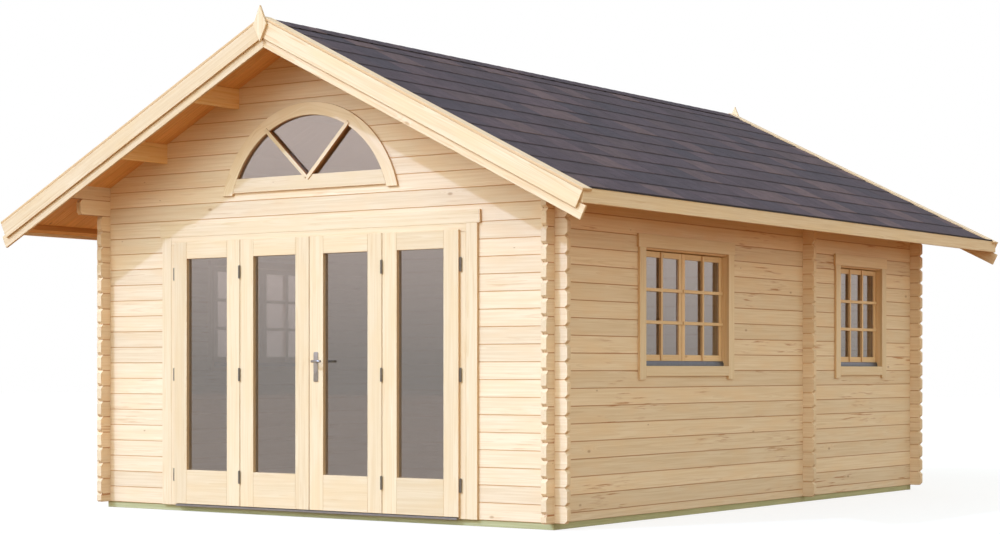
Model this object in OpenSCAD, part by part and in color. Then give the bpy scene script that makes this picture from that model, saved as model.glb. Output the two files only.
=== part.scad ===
// Log cabin with a glazed folding door, an arched gable window and a shingled roof.
// Millimetres. X runs along the front, Y from front to back, Z up from the ground.
// The origin is on the ground under the middle of the house.

/* [House] */
// Width over the outer faces of the side walls
house_w = 4200; // [3800:10:4800]
// Depth over the outer faces of the front and back walls
house_d = 5800; // [5400:10:6600]
// Front face of the partition, in front of the outer face of the back wall
partition_in = 2153; // [1900:1:2400]
// Whole courses of logs in the front wall below its gable
wall_courses = 20; // [19:1:21]

/* [Logs] */
// Thickness of a wall log
log_t = 44; // [36:1:58]
// Height of one course of logs
course_h = 120; // [114:1:130]
// Length of a log end past the crossing wall
end_out = 100; // [70:1:140]
// Corner cut off the top and bottom of each log end
end_bevel = 22; // [8:1:26]
// Bevel along the long edges of a log, which makes the V joint
edge_bevel = 3; // [2:0.5:5]
// Width of each of the two tongues on top of a log
tongue_w = 9; // [6:0.5:10]
// Spacing of the two tongues
tongue_pitch = 20; // [16:0.5:21]
// Height of a tongue
tongue_h = 8; // [5:1:12]
// Play in the seats between timbers
fit = 0.3; // [0.2:0.05:0.6]

/* [Foundation and floor] */
// Height of the foundation beams and joists
beam_h = 45; // [35:1:70]
// Width of a foundation beam
beam_w = 70; // [50:1:95]
// Set-back of the beams behind the outer wall faces
beam_in = 10; // [4:1:16]
// Width of a floor joist
joist_w = 45; // [35:1:60]
// Greatest spacing of the floor joists
joist_pitch = 560; // [400:10:650]
// Thickness of the floor boards
floor_t = 18; // [16:1:28]

/* [Roof] */
// Pitch of the roof in degrees
roof_pitch = 26.565; // [24:0.005:29]
// Rise of the deck above the top front course, at the outer wall face
plate_rise = 22; // [12:1:40]
// Thickness of the deck boards
deck_t = 20; // [16:1:26]
// Thickness of the roof covering
cover_t = 8; // [5:1:14]
// Reach of the deck past the outer faces of the side walls
eaves_out = 548; // [450:1:620]
// Reach of the deck past the front and back walls
verge_out = 538; // [440:1:620]
// Thickness of a purlin
purlin_t = 44; // [36:1:70]
// Depth of a purlin
purlin_h = 150; // [120:1:175]
// Spacing of the purlins from the ridge outwards
purlin_pitch = 733; // [690:1:760]
// Reach of the corbel logs past the front and back walls
corbel_out = 315; // [200:1:400]
// Width of a ridge cap wing, down the slope
ridge_cap_w = 125; // [90:1:170]

/* [Roof trim] */
// Thickness of the trim boards
trim_t = 20; // [16:1:26]
// Width of the outer bargeboard
barge_w = 120; // [100:1:140]
// Length of the outer bargeboard past the eaves fascia, down the slope
barge_out = 2; // [0:1:30]
// Width of the inner bargeboard
inner_barge_w = 98; // [80:1:120]
// Drop of the inner bargeboard below the outer one
inner_barge_drop = 58; // [40:1:70]
// Length of the inner bargeboard past the outer one
inner_barge_out = 53; // [20:1:80]
// Width of the verge cap, from the face of the bargeboard
verge_cap_w = 108; // [70:1:150]
// Height of the eaves fascia
fascia_h = 98; // [80:1:110]
// Clear strip between the roof covering and the fascia
fascia_gap = 12; // [5:1:20]
// Size of the eaves batten behind the fascia
batten = 44; // [30:1:60]
// Half width of the finial board
finial_half_w = 62; // [45:1:80]
// Height of the finial board above its widest place
finial_up = 138; // [100:1:180]
// Height of the finial board below its widest place
finial_down = 121; // [90:1:140]
// Widest place of the finial, below the top edge of the bargeboards
finial_drop = 44; // [20:1:60]

/* [Folding door] */
// Width of one door leaf
leaf_w = 667; // [600:1:700]
// Height of a door leaf
leaf_h = 1978; // [1850:1:1990]
// Height of the leaf's foot above the wall's foot
leaf_z = 13; // [13:1:20]
// Thickness of a leaf
leaf_t = 44; // [40:1:54]
// Gap between two leaves
leaf_gap = 2; // [2:0.5:4]
// Lap of the leaf over the frame
leaf_lap = 15; // [10:1:18]
// Width of a leaf stile
stile_w = 130; // [100:1:150]
// Height of the leaf's bottom rail
bottom_rail_h = 257; // [180:1:300]
// Height of the leaf's top rail
top_rail_h = 127; // [90:1:150]
// Depth of the glass behind the face of the leaf
glass_in = 28; // [18:1:30]
// Thickness of a glazing unit
glass_t = 12; // [6:1:14]
// Width of the door jambs
jamb_w = 63; // [45:1:75]
// Height of the door frame's head
head_h = 56; // [50:1:70]
// Reach of the door frame past the inner wall face
frame_in = 12; // [0:1:30]
// Width of the door casing boards
door_casing_w = 94; // [70:1:110]
// Overhang of the head casing past the side casings
casing_horn = 22; // [5:1:35]
// Height of the metal threshold
threshold_h = 10; // [6:1:11]
// Length of a hinge knuckle
hinge_l = 93; // [70:1:120]
// Diameter of a hinge knuckle
hinge_d = 16; // [10:1:20]
// Height of the lowest hinge above the wall's foot
hinge_low = 230; // [180:1:300]
// Spacing of the hinges
hinge_pitch = 761; // [700:1:800]
// Height of the handle plate
handle_plate_h = 214; // [180:1:240]
// Width of the handle plate
handle_plate_w = 40; // [32:1:50]
// Height of the handle plate's foot above the wall's foot
handle_z = 940; // [880:1:1000]
// Height of the lever above the plate's foot
lever_up = 147; // [120:1:160]
// Diameter of the lever
lever_d = 18; // [14:1:22]
// Reach of the lever from the plate
lever_out = 55; // [45:1:65]
// Length of the lever
lever_l = 92; // [80:1:130]

/* [Arched window] */
// Middle of the arched window, left of the ridge
arch_left = 36; // [0:1:60]
// Radius of the arched opening in the gable
arch_r = 790; // [720:1:840]
// Rise of the arched opening above its sill
arch_rise = 508; // [440:1:560]
// Thickness of the arched frame
arch_frame_t = 34; // [25:1:50]
// Height of the arched frame's bottom rail
arch_rail_h = 43; // [30:1:60]
// Width of the arched casing
arch_casing_w = 94; // [80:1:120]
// Height of the casing's bottom board
arch_board_h = 105; // [85:1:120]
// Length of the casing's feet below its bottom board
arch_foot = 18; // [5:1:30]
// Depth of the glass behind the wall face
arch_glass_in = 21; // [14:1:26]

/* [Windows] */
// Clear height between the casing boards
window_h = 846; // [750:1:880]
// Height of the clear opening above the wall's foot
window_z = 1054; // [1000:1:1060]
// Clear width of the front room's windows
wide_window_w = 1217; // [1000:1:1300]
// Middle of the front room's windows, behind the front wall face
wide_window_in = 1765; // [1650:1:1850]
// Clear width of the back room's windows
small_window_w = 815; // [700:1:900]
// Middle of the back room's windows, in front of the back wall face
small_window_in = 1081; // [1000:1:1200]
// Thickness of the window frame
window_frame_t = 40; // [30:1:45]
// Depth of the window frame from the outer wall face
window_frame_d = 80; // [76:1:100]
// Depth of the sash behind the outer wall face
sash_in = 41; // [36:1:44]
// Thickness of a sash
sash_t = 34; // [28:1:38]
// Width of the sash stiles and rails
sash_w = 45; // [35:1:55]
// Depth of the frame's head below the head casing
head_show = 15; // [0:1:25]
// Gap around a sash
sash_gap = 2; // [1.5:0.5:4]
// Width of the window casing boards
casing_w = 86; // [70:1:95]
// Height of the window's head casing
head_casing_h = 94; // [75:1:105]
// Height of the casing's bottom board
sill_casing_h = 74; // [60:1:85]
// Length of the side casings below the bottom board
casing_foot = 25; // [5:1:35]
// Overhang of the head casing past the side casings
head_horn = 14; // [5:1:25]
// Height of the metal drip bar below the sash
drip_h = 36; // [25:1:45]
// Depth of the metal drip bar
drip_d = 15; // [10:1:30]

/* [Partition doorway] */
// Width of the plain doorway in the partition
doorway_w = 900; // [700:10:1000]
// Height of that doorway
doorway_h = 2000; // [1900:10:2030]

/* [Hidden] */
$fn = 96;
spruce = "BurlyWood";
metal = "Gray";
glass = "LightSteelBlue";
far = 20000;
over = 1;

half_w = house_w / 2;
half_d = house_d / 2;
inner_half_w = half_w - log_t;
quarter = course_h / 4;

// Heights: the wall's foot, the gable's foot, and the deck's underside at the ridge
function course_z(i) = beam_h + i * course_h;
foot_z = course_z(0);
gable_z = course_z(wall_courses);
slope = tan(roof_pitch);
ridge_z = gable_z + plate_rise + half_w * slope;
gable_courses = ceil((ridge_z - gable_z) / course_h);
function under_z(x) = ridge_z - abs(x) * slope;
function plumb(n) = n / cos(roof_pitch);

// Places of the three cross walls, the crossings on a side wall, and the purlins
front_y = -half_d + log_t / 2;
back_y = half_d - log_t / 2;
partition_y = half_d - partition_in + log_t / 2;
cross_walls = [front_y, partition_y, back_y];
purlin_x = [for (side = [-1, 1], k = [1, 2]) side * k * purlin_pitch];

// Planes of the roof trim, from the front wall's outer face outwards
deck_y = half_d + verge_out;
inner_barge_y = deck_y - trim_t;
eaves_x = half_w + eaves_out;
barge_l = plumb(eaves_x + trim_t) + barge_out;

// Folding door: the set of leaves, its frame and its opening
leaves = 4;
door_half = (leaves * leaf_w + (leaves - 1) * leaf_gap) / 2;
jamb_in = door_half - leaf_lap;
jamb_out = jamb_in + jamb_w;
leaf_top = foot_z + leaf_z + leaf_h;
head_z = leaf_top - leaf_lap;
head_top = head_z + head_h;
// The logs over the door start at a course line where that leaves only a thin gap for settling
over_door_z = course_z(ceil((head_top - foot_z) / course_h));
door_cut_top = over_door_z - head_top < quarter ? over_door_z : head_top + fit;
leaf_clear = 3;
frame_face = -half_d - trim_t;
leaf_face = frame_face - trim_t;
door_cut = [-jamb_out - fit, jamb_out + fit, foot_z - over, door_cut_top];

// Arched window: its centre, opening and glass
arch_x = -arch_left;
arch_z = gable_z + arch_rise - arch_r;
arch_inner_r = arch_r - arch_frame_t;
arch_glass_z = gable_z + arch_rail_h;
arch_chord = sqrt(pow(arch_r, 2) - pow(arch_r - arch_rise, 2));
arch_cut = [arch_x - arch_chord, arch_x + arch_chord, gable_z - fit, gable_z + arch_rise];

// Windows: middle along the wall, clear width and number of sashes
windows = [
    [-half_d + wide_window_in, wide_window_w, 2],
    [half_d - small_window_in, small_window_w, 1]
];
window_foot = foot_z + window_z;
window_top = window_foot + window_h;
sash_foot = window_foot + drip_h + fit;
head_foot = window_top - head_show;
sash_top = head_foot - sash_gap;
function window_cut(w) = [
    w[0] - w[1] / 2 - window_frame_t - fit,
    w[0] + w[1] / 2 + window_frame_t + fit,
    window_foot - window_frame_t - fit,
    window_top + window_frame_t + fit
];

// A box given by its lowest and highest corners
module block(low, high) {
    translate(low) cube(high - low);
}

// A flat shape drawn in X and Z, given thickness from y = y0 to y = y1
module upright(y0, y1) {
    translate([0, y1, 0]) rotate([90, 0, 0]) linear_extrude(y1 - y0) children();
}

module mirrored_x() {
    children();
    mirror([1, 0, 0]) children();
}

module to_rear() {
    mirror([0, 1, 0]) children();
}

// Corners of the two grooves under a log, and of the two tongues on top of it
tongue_taper = 1;
function grooves() = let (g = tongue_w / 2 + fit)
    [for (x = [-tongue_pitch / 2, tongue_pitch / 2])
        each [[x - g, 0], [x - g, tongue_h + fit], [x + g, tongue_h + fit], [x + g, 0]]];
function tongues(h) = let (w = tongue_w / 2)
    [for (x = [tongue_pitch / 2, -tongue_pitch / 2])
        each [[x + w, h], [x + w - tongue_taper, h + tongue_h],
              [x - w + tongue_taper, h + tongue_h], [x - w, h]]];

// Section of a log: bevelled edges, grooves below and tongues on top
module log_section(h, groove, tongue) {
    t = log_t / 2;
    b = edge_bevel;
    polygon(concat(
        [[-t, b], [b - t, 0]],
        groove ? grooves() : [],
        [[t - b, 0], [t, b], [t, h - b], [t - b, h]],
        tongue ? tongues(h) : [],
        [[b - t, h], [-t, h - b]]
    ));
}

// Section of the side wall's top log, planed to the slope of the deck it carries
module plate_section(z) {
    t = log_t / 2;
    polygon(concat(
        [[-t, edge_bevel], [edge_bevel - t, 0]],
        grooves(),
        [[t - edge_bevel, 0], [t, edge_bevel],
         [t, under_z(inner_half_w) - fit - z], [-t, under_z(half_w) - fit - z]]
    ));
}

// A log along X: its section, cut to the outline that the children draw in X and Z
module log_bar(z, length) {
    intersection() {
        translate([-length / 2, 0, z]) rotate([90, 0, 90]) linear_extrude(length) children(0);
        upright(-log_t, log_t) children(1);
    }
}

// Side view of a log with the corners cut off its ends
module log_outline(z, h, length, bevel) {
    e = length / 2;
    top = h + tongue_h + over;
    polygon([
        [-e, z + bevel], [bevel - e, z], [e - bevel, z], [e, z + bevel],
        [e, z + h - bevel], [e - bevel - top + h, z + top],
        [bevel + top - h - e, z + top], [-e, z + h - bevel]
    ]);
}

// Notches that let a log half way into the logs it crosses, above and below
module crossing(x, z, h, low, high) {
    w = log_t + 2 * fit;
    if (low) translate([x - w / 2, z - over]) square([w, quarter + fit / 2 + over]);
    if (high) translate([x - w / 2, z + h - quarter - fit / 2]) square([w, course_h]);
}

// The part of an opening that falls on one log, its tongue included
module opening_on_log(cut, z, h) {
    low = cut[2] <= z ? z - over : cut[2];
    high = cut[3] >= z + h ? z + h + tongue_h + 2 * over : cut[3];
    if (cut[3] > z && high > low)
        translate([cut[0], low]) square([cut[1] - cut[0], high - low]);
}

module under_roof() {
    polygon([[-half_w - end_out - over, 0], [half_w + end_out + over, 0],
             [half_w + end_out + over, under_z(half_w + end_out + over) - fit], [0, ridge_z - fit],
             [-half_w - end_out - over, under_z(half_w + end_out + over) - fit]]);
}

// Courses of a front, back or partition wall up to the gable
module cross_wall(y, cuts) {
    length = house_w + 2 * end_out;
    h = course_h - fit;
    translate([0, y, 0])
        for (i = [0 : wall_courses - 1]) {
            z = course_z(i);
            log_bar(z, length) {
                log_section(h, i > 0, true);
                difference() {
                    intersection() {
                        log_outline(z, h, length, end_bevel);
                        under_roof();
                    }
                    for (x = [front_x(-1), front_x(1)])
                        crossing(x, z, course_h, true, true);
                    for (cut = cuts)
                        opening_on_log(cut, z, course_h);
                }
            }
        }
}

function front_x(side) = side * (half_w - log_t / 2);

// Courses of a gable, between the plates, under the deck and around the purlins
module gable(y) {
    length = 2 * (inner_half_w - fit);
    h = course_h - fit;
    translate([0, y, 0])
        for (i = [wall_courses : wall_courses + gable_courses - 1]) {
            z = course_z(i);
            log_bar(z, length) {
                log_section(h, true, true);
                difference() {
                    intersection() {
                        translate([-length / 2, z - over]) square([length, course_h + tongue_h + over]);
                        under_roof();
                    }
                    purlin_outlines(fit);
                    children();
                }
            }
        }
}

// Ends of the purlins, with play around them
module purlin_outlines(play) {
    for (x = purlin_x)
        translate([x - purlin_t / 2 - play, under_z(abs(x) - purlin_t / 2) - purlin_h - play])
            square([purlin_t + 2 * play, purlin_h + course_h]);
    translate([-purlin_t / 2 - play, ridge_z - purlin_h - play])
        square([purlin_t + 2 * play, purlin_h + course_h]);
}

module front_wall_logs() color(spruce) cross_wall(front_y, [door_cut, arch_cut]);

module front_gable_logs()
    color(spruce)
        gable(front_y)
            intersection() {
                translate([arch_x, arch_z]) circle(arch_r);
                translate([arch_x - arch_r, gable_z - over]) square([2 * arch_r, arch_rise + 2 * over]);
            }

module back_wall_logs() color(spruce) cross_wall(back_y, []);

module back_gable_logs() color(spruce) gable(back_y);

module partition_logs()
    color(spruce) {
        cross_wall(partition_y,
            [[-doorway_w / 2, doorway_w / 2, foot_z - over, foot_z + floor_t + doorway_h]]);
        gable(partition_y);
    }

// A side wall, drawn along X with its outer face towards -Y: half a course lower than the front
module side_wall() {
    cuts = [for (w = windows) window_cut(w)];
    half = course_h / 2;
    for (j = [0 : wall_courses]) {
        z = j == 0 ? foot_z : course_z(j) - half;
        h = j == 0 ? half : course_h;
        out = j == wall_courses ? verge_out - trim_t - fit : j == wall_courses - 1 ? corbel_out : end_out;
        length = house_d + 2 * out;
        translate([0, log_t / 2, 0])
            log_bar(z, length) {
                if (j == wall_courses) plate_section(z);
                else log_section(h - fit, j > 0, true);
                difference() {
                    log_outline(z, h - fit, length,
                                j == wall_courses ? 0 : j == 0 ? end_bevel / 2 : end_bevel);
                    for (y = cross_walls)
                        crossing(y, z, h, j > 0, j < wall_courses);
                    for (cut = cuts)
                        opening_on_log(cut, z, h);
                }
            }
    }
}

// Puts what is drawn along X, facing -Y, on the right wall
module on_right_wall() {
    translate([half_w, 0, 0]) rotate([0, 0, 90]) children();
}

module right_wall_logs() color(spruce) on_right_wall() side_wall();

module left_wall_logs() color(spruce) mirror([1, 0, 0]) on_right_wall() side_wall();

// Beams under the outer walls and the partition
module foundation_beams() {
    x = half_w - beam_in;
    y = half_d - beam_in;
    color("DarkKhaki") {
        for (side = [0, 1]) mirror([0, side, 0]) block([-x, -y, 0], [x, beam_w - y, beam_h]);
        mirrored_x() {
            block([x - beam_w, beam_w - y + fit, 0], [x, partition_y - beam_w / 2 - fit, beam_h]);
            block([x - beam_w, partition_y + beam_w / 2 + fit, 0], [x, y - beam_w - fit, beam_h]);
        }
        block([-x, partition_y - beam_w / 2, 0], [x, partition_y + beam_w / 2, beam_h]);
    }
}

// Joists of both rooms, between the beams
module floor_joists() {
    x = half_w - beam_in - beam_w - fit;
    front = beam_in + beam_w - half_d;
    color("DarkKhaki")
        for (room = [[front, partition_y - beam_w / 2], [partition_y + beam_w / 2, -front]]) {
            bays = ceil((room[1] - room[0]) / joist_pitch);
            for (k = [1 : bays - 1]) {
                y = room[0] + k * (room[1] - room[0]) / bays;
                block([-x, y - joist_w / 2, 0], [x, y + joist_w / 2, beam_h]);
            }
        }
}

// Floors of both rooms, between the walls; the front one runs on through the doorway
module floor_boards() {
    x = inner_half_w - fit;
    front = front_y + log_t / 2 + frame_in + fit;
    middle = partition_y - log_t / 2 - fit;
    color("Tan") {
        block([-x, front, foot_z], [x, middle, foot_z + floor_t]);
        block([fit - doorway_w / 2, middle - over, foot_z],
              [doorway_w / 2 - fit, middle + log_t + fit, foot_z + floor_t]);
        block([-x, middle + log_t + 2 * fit, foot_z], [x, back_y - log_t / 2 - fit, foot_z + floor_t]);
    }
}

// A piece of one roof slope between two plumb cuts, at heights n0 to n1 square to the deck's underside
module slope_shape(x0, x1, n0, n1) {
    polygon([[x0, under_z(x0) + plumb(n0)], [x1, under_z(x1) + plumb(n0)],
             [x1, under_z(x1) + plumb(n1)], [x0, under_z(x0) + plumb(n1)]]);
}

// A board down one slope, mitred at the ridge and cut square at its foot
module raking_board(length, n0, n1) {
    function foot(n) = [length * cos(roof_pitch) + n * sin(roof_pitch),
                        ridge_z - length * sin(roof_pitch) + n * cos(roof_pitch)];
    polygon([[fit / 2, under_z(fit / 2) + plumb(n0)], foot(n0), foot(n1),
             [fit / 2, under_z(fit / 2) + plumb(n1)]]);
}

// The ridge purlin and the two purlins of each slope, which carry the deck
module ridge_purlin() {
    reach = inner_barge_y - fit;
    color(spruce)
        upright(-reach, reach)
            polygon([[-purlin_t / 2, ridge_z - purlin_h], [purlin_t / 2, ridge_z - purlin_h],
                     [purlin_t / 2, under_z(purlin_t / 2) - fit], [0, ridge_z - fit],
                     [-purlin_t / 2, under_z(purlin_t / 2) - fit]]);
}

module purlins() {
    reach = inner_barge_y - fit;
    color(spruce)
        upright(-reach, reach)
            for (x = purlin_x) {
                low = under_z(abs(x) - purlin_t / 2) - purlin_h;
                polygon([[x - purlin_t / 2, low], [x + purlin_t / 2, low],
                         [x + purlin_t / 2, under_z(x + purlin_t / 2) - fit],
                         [x - purlin_t / 2, under_z(x - purlin_t / 2) - fit]]);
            }
}

module roof_deck() {
    color(spruce) upright(-deck_y, deck_y) slope_shape(fit / 2, eaves_x - fit, 0, deck_t);
}

module right_roof_deck() roof_deck();

module left_roof_deck() mirror([1, 0, 0]) roof_deck();

cover_y = deck_y + trim_t - verge_cap_w - fit;

module roof_covering() {
    color("DimGray")
        upright(-cover_y, cover_y)
            slope_shape(fit / 2, eaves_x - fascia_gap, deck_t, deck_t + cover_t);
}

module right_roof_covering() roof_covering();

module left_roof_covering() mirror([1, 0, 0]) roof_covering();

module ridge_cap() {
    x = ridge_cap_w * cos(roof_pitch);
    low = plumb(deck_t + cover_t + fit);
    high = low + plumb(cover_t / 2);
    color("DimGray")
        upright(-cover_y, cover_y)
            polygon([[-x, under_z(x) + low], [0, ridge_z + low], [x, under_z(x) + low],
                     [x, under_z(x) + high], [0, ridge_z + high], [-x, under_z(x) + high]]);
}

module eaves_fascias() {
    top = under_z(eaves_x) + plumb(deck_t + cover_t);
    color(spruce)
        mirrored_x()
            block([eaves_x, fit - deck_y, top - fascia_h], [eaves_x + trim_t, deck_y - fit, top]);
}

module eaves_battens() {
    reach = inner_barge_y - fit;
    color(spruce)
        mirrored_x()
            upright(-reach, reach)
                slope_shape(eaves_x - batten, eaves_x - fit, -batten * cos(roof_pitch), -fit);
}

// Trim of the front verge: the rear has its mirror image
module bargeboards() {
    color(spruce)
        mirrored_x()
            upright(-deck_y - trim_t, -deck_y - fit)
                raking_board(barge_l, deck_t - barge_w, deck_t);
}

module inner_bargeboards() {
    low = deck_t - barge_w - inner_barge_drop;
    color(spruce)
        mirrored_x()
            upright(-deck_y, -inner_barge_y)
                raking_board(barge_l + inner_barge_out, low, low + inner_barge_w);
}

module verge_caps() {
    color(spruce)
        mirrored_x()
            upright(-deck_y - trim_t, verge_cap_w - deck_y - trim_t)
                raking_board(barge_l, deck_t + fit, deck_t + trim_t);
}

module finial() {
    z = ridge_z + plumb(deck_t) - finial_drop;
    color(spruce)
        upright(-deck_y - 2 * trim_t, -deck_y - trim_t - fit)
            polygon([[0, z - finial_down], [finial_half_w, z], [0, z + finial_up], [-finial_half_w, z]]);
}

module front_bargeboards() bargeboards();

module front_inner_bargeboards() inner_bargeboards();

module front_verge_caps() verge_caps();

module front_finial() finial();

module rear_bargeboards() to_rear() bargeboards();

module rear_inner_bargeboards() to_rear() inner_bargeboards();

module rear_verge_caps() to_rear() verge_caps();

module rear_finial() to_rear() finial();

// Jambs and head of the folding door, their faces level with the casing
module door_frame() {
    back = log_t + frame_in - half_d;
    color(spruce) {
        mirrored_x() block([jamb_in, frame_face, foot_z], [jamb_out, back, head_z - fit]);
        block([-jamb_out, frame_face, head_z], [jamb_out, back, head_top]);
    }
}

// Metal threshold on the foundation beam, with a lip over its edge
module door_threshold() {
    lip = 6;
    skin = 4;
    x = jamb_in - fit;
    front = leaf_face + fit;
    back = log_t - half_d;
    color(metal)
        translate([-x, 0, foot_z]) rotate([90, 0, 90]) linear_extrude(2 * x)
            polygon([[front, -lip], [front + skin, -lip], [front + skin, 0], [back, 0],
                     [back, threshold_h - skin], [front + 2 * trim_t, threshold_h],
                     [front, threshold_h - skin / 2]]);
}

// Boards that cover the joint between the door frame and the logs
module door_casing() {
    x0 = jamb_out + fit;
    x1 = x0 + door_casing_w;
    top = head_top + fit;
    color(spruce)
        translate([0, -half_d, 0]) {
            mirrored_x() block([x0, -trim_t, foot_z], [x1, -fit, top - fit]);
            block([-x1 - casing_horn, -trim_t, top], [x1 + casing_horn, -fit, top + door_casing_w]);
        }
}

function leaf_x(k) = -door_half + k * (leaf_w + leaf_gap);

// The rebated slab of a leaf: its face laps over the frame, its back goes inside it
module leaf_slab(k) {
    x0 = leaf_x(k);
    x1 = x0 + leaf_w;
    z0 = foot_z + leaf_z;
    lap = leaf_lap + leaf_clear;
    step = frame_face - fit;
    block([x0, leaf_face, z0], [x1, step, leaf_top]);
    block([x0 + (k == 0 ? lap : 0), step - over, z0],
          [x1 - (k == leaves - 1 ? lap : 0), leaf_face + leaf_t, leaf_top - lap]);
}

// A leaf: two stiles and two rails around its glass
module door_leaf(k) {
    x0 = leaf_x(k);
    x1 = x0 + leaf_w;
    z0 = foot_z + leaf_z;
    rails = [[z0 - over, z0 + bottom_rail_h], [leaf_top - top_rail_h, leaf_top + over]];
    color(spruce) {
        for (x = [[x0 - over, x0 + stile_w], [x1 - stile_w, x1 + over]])
            intersection() {
                leaf_slab(k);
                block([x[0], -half_d - far, 0], [x[1], half_d, far]);
            }
        for (z = rails)
            intersection() {
                leaf_slab(k);
                block([x0 + stile_w + fit, -half_d - far, z[0]], [x1 - stile_w - fit, half_d, z[1]]);
            }
    }
}

module door_leaf_1() door_leaf(0);

module door_leaf_2() door_leaf(1);

module door_leaf_3() door_leaf(2);

module door_leaf_4() door_leaf(3);

module door_glass() {
    y = leaf_face + glass_in;
    color(glass)
        for (k = [0 : leaves - 1])
            block([leaf_x(k) + stile_w + fit, y, foot_z + leaf_z + bottom_rail_h + fit],
                  [leaf_x(k) + leaf_w - stile_w - fit, y + glass_t, leaf_top - top_rail_h - fit]);
}

// Knuckles at the jambs and at the outer two seams; the middle seam is where the door parts
module door_hinges() {
    r = hinge_d / 2;
    seam = leaf_x(1) - leaf_gap / 2;
    color(metal)
        mirrored_x()
            for (k = [0 : 2]) {
                z = foot_z + hinge_low + k * hinge_pitch - hinge_l / 2;
                translate([seam, leaf_face - fit - r, z]) cylinder(r = r, h = hinge_l);
                translate([door_half + fit + r, frame_face - fit - r, z]) cylinder(r = r, h = hinge_l);
            }
}

// Lever handle on a plate, on the first stile right of the middle
module door_handle() {
    x = leaf_x(2) + stile_w / 2;
    z = foot_z + handle_z;
    plate = 6;
    y = leaf_face - fit;
    r = lever_d / 2;
    color(metal) {
        upright(y - plate, y)
            translate([x - handle_plate_w / 2, z]) square([handle_plate_w, handle_plate_h]);
        translate([x, y - plate + over, z + lever_up])
            rotate([90, 0, 0]) cylinder(r = r, h = lever_out + over);
        translate([x, y - plate - lever_out, z + lever_up]) sphere(r);
        translate([x, y - plate - lever_out, z + lever_up]) rotate([0, 90, 0]) cylinder(r = r, h = lever_l);
    }
}

// The disc of the arch above a level line
module arch_shape(r, low) {
    intersection() {
        translate([arch_x, arch_z]) circle(r);
        translate([-far, low]) square(2 * far);
    }
}

// Arched board with feet, and the bottom board fitted between its ends
module arch_window_casing() {
    board_z = arch_glass_z - arch_board_h;
    outer = arch_inner_r + arch_casing_w;
    color(spruce)
        translate([0, -half_d, 0]) {
            upright(-trim_t, -fit)
                difference() {
                    arch_shape(outer, board_z - arch_foot);
                    translate([arch_x, arch_z]) circle(arch_inner_r);
                }
            upright(-trim_t, -fit)
                difference() {
                    arch_shape(arch_inner_r - fit, board_z);
                    translate([-far, arch_glass_z]) square(2 * far);
                }
        }
}

module arch_window_frame() {
    color(spruce)
        translate([0, -half_d, 0])
            upright(0, log_t + frame_in)
                difference() {
                    arch_shape(arch_r - fit, gable_z + fit);
                    arch_shape(arch_inner_r, arch_glass_z);
                }
}

module arch_window_glass() {
    color(glass)
        translate([0, -half_d, 0])
            upright(arch_glass_in, arch_glass_in + glass_t)
                arch_shape(arch_inner_r - fit, arch_glass_z + fit);
}

// Puts what is drawn along X, facing -Y, on both side walls at each window
module at_windows() {
    mirrored_x() on_right_wall() children();
}

// A window frame: jambs between a sill and a head
module window_frames() {
    t = window_frame_t;
    color(spruce)
        at_windows()
            for (w = windows) {
                x = w[1] / 2;
                translate([w[0], 0, 0]) {
                    block([-x - t, 0, window_foot - t], [x + t, window_frame_d, window_foot]);
                    block([-x - t, 0, head_foot], [x + t, window_frame_d, window_top + t]);
                    mirrored_x()
                        block([x, 0, window_foot + fit], [x + t, window_frame_d, head_foot - fit]);
                }
            }
}

// Places and width of the sashes of a window
function sash_width(w) = (w[1] - (w[2] + 1) * sash_gap) / w[2];
function sash_x(w, k) = w[0] - w[1] / 2 + sash_gap + k * (sash_width(w) + sash_gap);

// Sashes: stiles and rails, standing on the drip bar
module window_sashes() {
    color(spruce)
        at_windows()
            for (w = windows, k = [0 : w[2] - 1]) {
                x0 = sash_x(w, k);
                x1 = x0 + sash_width(w);
                for (x = [x0, x1 - sash_w])
                    block([x, sash_in, sash_foot], [x + sash_w, sash_in + sash_t, sash_top]);
                for (z = [sash_foot, sash_top - sash_w])
                    block([x0 + sash_w + fit, sash_in, z], [x1 - sash_w - fit, sash_in + sash_t, z + sash_w]);
            }
}

module window_glass() {
    y = sash_in + (sash_t - glass_t) / 2;
    color(glass)
        at_windows()
            for (w = windows, k = [0 : w[2] - 1]) {
                x0 = sash_x(w, k) + sash_w + fit;
                x1 = sash_x(w, k) + sash_width(w) - sash_w - fit;
                block([x0, y, sash_foot + sash_w + fit], [x1, y + glass_t, sash_top - sash_w - fit]);
            }
}

// Metal bar on the sill that throws the rain off below the sash
module window_drip_bars() {
    color(metal)
        at_windows()
            for (w = windows)
                translate([w[0] - w[1] / 2 + fit, 0, window_foot + fit])
                    rotate([90, 0, 90]) linear_extrude(w[1] - 2 * fit)
                        polygon([[sash_in - drip_d, 0], [sash_in + sash_t, 0],
                                 [sash_in + sash_t, drip_h - fit], [sash_in - drip_d / 2, drip_h - fit],
                                 [sash_in - drip_d, drip_h / 2]]);
}

// Casing boards around a window: sides with feet, a head with horns and a bottom board
module window_casings() {
    color(spruce)
        at_windows()
            for (w = windows) {
                x = w[1] / 2;
                sill = window_foot - sill_casing_h;
                horn = x + casing_w + head_horn;
                translate([w[0], 0, 0]) {
                    mirrored_x()
                        block([x, -trim_t, sill - casing_foot], [x + casing_w, -fit, window_top - fit]);
                    block([-horn, -trim_t, window_top], [horn, -fit, window_top + head_casing_h]);
                    block([fit - x, -trim_t, sill], [x - fit, -fit, window_foot]);
                }
            }
}

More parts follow.
